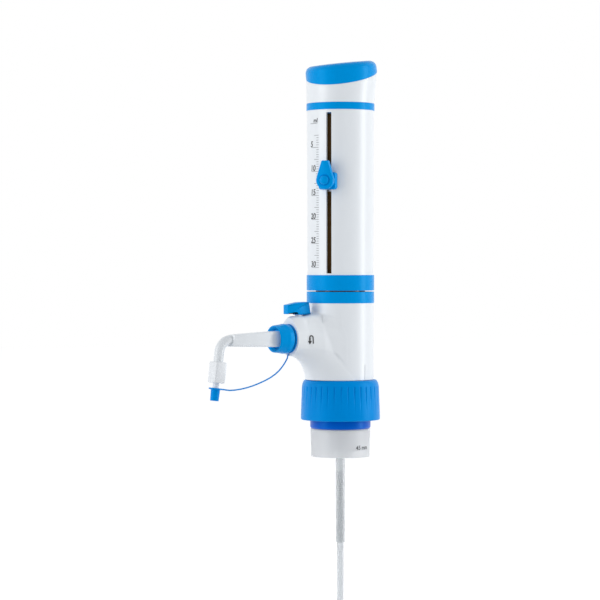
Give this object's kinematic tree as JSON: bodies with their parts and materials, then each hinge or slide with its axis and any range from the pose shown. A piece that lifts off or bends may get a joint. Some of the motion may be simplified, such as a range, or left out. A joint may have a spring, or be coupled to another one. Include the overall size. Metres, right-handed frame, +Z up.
{
  "type": "bottle top dispenser",
  "caption": "Piston dispenser that screws on a laboratory bottle: sleeve with volume slide, valve head, recirculation knob and adjustable nozzle with tethered cap.",
  "frame": {"origin": "centre of the sealing face that rests on the bottle's rim, on the bottle's axis", "axes": "+Z up along the bottle's and the piston's axis, the nozzle points along -X"},
  "size_m": [0.1664, 0.0674, 0.4831],
  "materials": {
    "white_plastic": "moulded white polypropylene, satin",
    "blue_plastic": "moulded bright blue polypropylene, satin",
    "blue_plastic_dark": "moulded deep blue polypropylene, satin",
    "blue_rubber": "soft blue silicone",
    "frosted_plastic": "natural frosted polypropylene",
    "white_fluoroplastic": "turned fluoropolymer",
    "clear_tube": "clear fluoropolymer tube",
    "amber_plastic": "dark amber protective tube",
    "borosilicate": "clear borosilicate glass",
    "steel": "turned stainless steel",
    "seal_rubber": "black fluoroelastomer"
  },
  "bodies": {
    "base": {"bottle_adapter": "frosted_plastic", "rim_seal": "white_fluoroplastic", "thread_ring": "blue_plastic_dark", "collar_grip": "blue_plastic"},
    "head": {"valve_head": "white_plastic", "head_band": "blue_plastic", "valve_block": "white_fluoroplastic", "suction_valve": "white_fluoroplastic", "feed_tube_fixed": "clear_tube", "return_tube": "clear_tube", "outlet_insert": "white_fluoroplastic", "glass_barrel": "borosilicate", "barrel_nut": "white_fluoroplastic", "barrel_seal": "seal_rubber", "guard_tube": "amber_plastic", "stop_ring": "blue_plastic", "spindle_seal": "seal_rubber", "tether_ring": "blue_rubber", "arm_sheath": "white_plastic", "tether": "blue_rubber"},
    "feed_slide": {"feed_tube_sliding": "clear_tube"},
    "suction_valve_ball": {"suction_ball": "borosilicate"},
    "discharge_valve_ball": {"discharge_ball": "borosilicate"},
    "recirculation": {"spindle": "white_fluoroplastic", "recirculation_knob": "blue_plastic"},
    "lock_nut": {"nozzle_nut": "blue_plastic"},
    "nozzle": {"delivery_tube": "frosted_plastic"},
    "nozzle_end": {"tip_sleeve": "white_plastic"},
    "cap": {"tip_cap": "blue_rubber"},
    "sleeve": {"measuring_sleeve": "white_plastic", "sleeve_ring": "blue_plastic", "top_band": "blue_plastic", "top_housing": "white_plastic", "top_cap": "blue_plastic", "rod_plate": "white_plastic", "piston_rod": "steel", "calibration_nut": "steel", "piston": "white_fluoroplastic", "piston_seal": "white_fluoroplastic"},
    "volume_slide": {"volume_block": "blue_plastic", "clamp_plate": "steel"},
    "volume_lock": {"volume_lever": "blue_plastic"}
  },
  "joints": [
    {"name": "head_swivel", "type": "hinge", "parent": "base", "child": "head", "pos_m": [0, 0, 0], "axis": [0, 0, 1], "continuous": true},
    {"name": "sleeve_lift", "type": "slide", "parent": "head", "child": "sleeve", "axis": [0, 0, 1], "range_m": [0, 0.049]},
    {"name": "volume_set", "type": "slide", "parent": "sleeve", "child": "volume_slide", "axis": [0, 0, -1], "range_m": [-0.039, 0.0715]},
    {"name": "volume_lock_turn", "type": "hinge", "parent": "volume_slide", "child": "volume_lock", "pos_m": [0, 0, 0.2115], "axis": [-0.8339, -0.5519, 0], "range_deg": [0, 90]},
    {"name": "recirculation_turn", "type": "hinge", "parent": "head", "child": "recirculation", "pos_m": [-0.0437, 0, 0.1], "axis": [0, 0, 1], "range_deg": [0, 90]},
    {"name": "lock_nut_turn", "type": "hinge", "parent": "head", "child": "lock_nut", "pos_m": [-0.06, 0, 0.079], "axis": [-1, 0, 0], "range_deg": [0, 360]},
    {"name": "nozzle_reach", "type": "slide", "parent": "head", "child": "nozzle", "axis": [-1, 0, 0], "range_m": [0, 0.02], "deforming": ["tether"]},
    {"name": "nozzle_drop", "type": "slide", "parent": "nozzle", "child": "nozzle_end", "axis": [-0.1219, 0, -0.9925], "range_m": [0, 0.01]},
    {"name": "cap_pull", "type": "slide", "parent": "nozzle_end", "child": "cap", "axis": [-0.1219, 0, -0.9925], "range_m": [0, 0.013]},
    {"name": "feed_tube_reach", "type": "slide", "parent": "head", "child": "feed_slide", "axis": [0, 0, -1], "range_m": [-0.03, 0.045]},
    {"name": "suction_ball_lift", "type": "slide", "parent": "head", "child": "suction_valve_ball", "axis": [0, 0, 1], "range_m": [0, 0.0015]},
    {"name": "discharge_ball_lift", "type": "slide", "parent": "head", "child": "discharge_valve_ball", "axis": [0, 0, 1], "range_m": [0, 0.0015]}
  ]
}
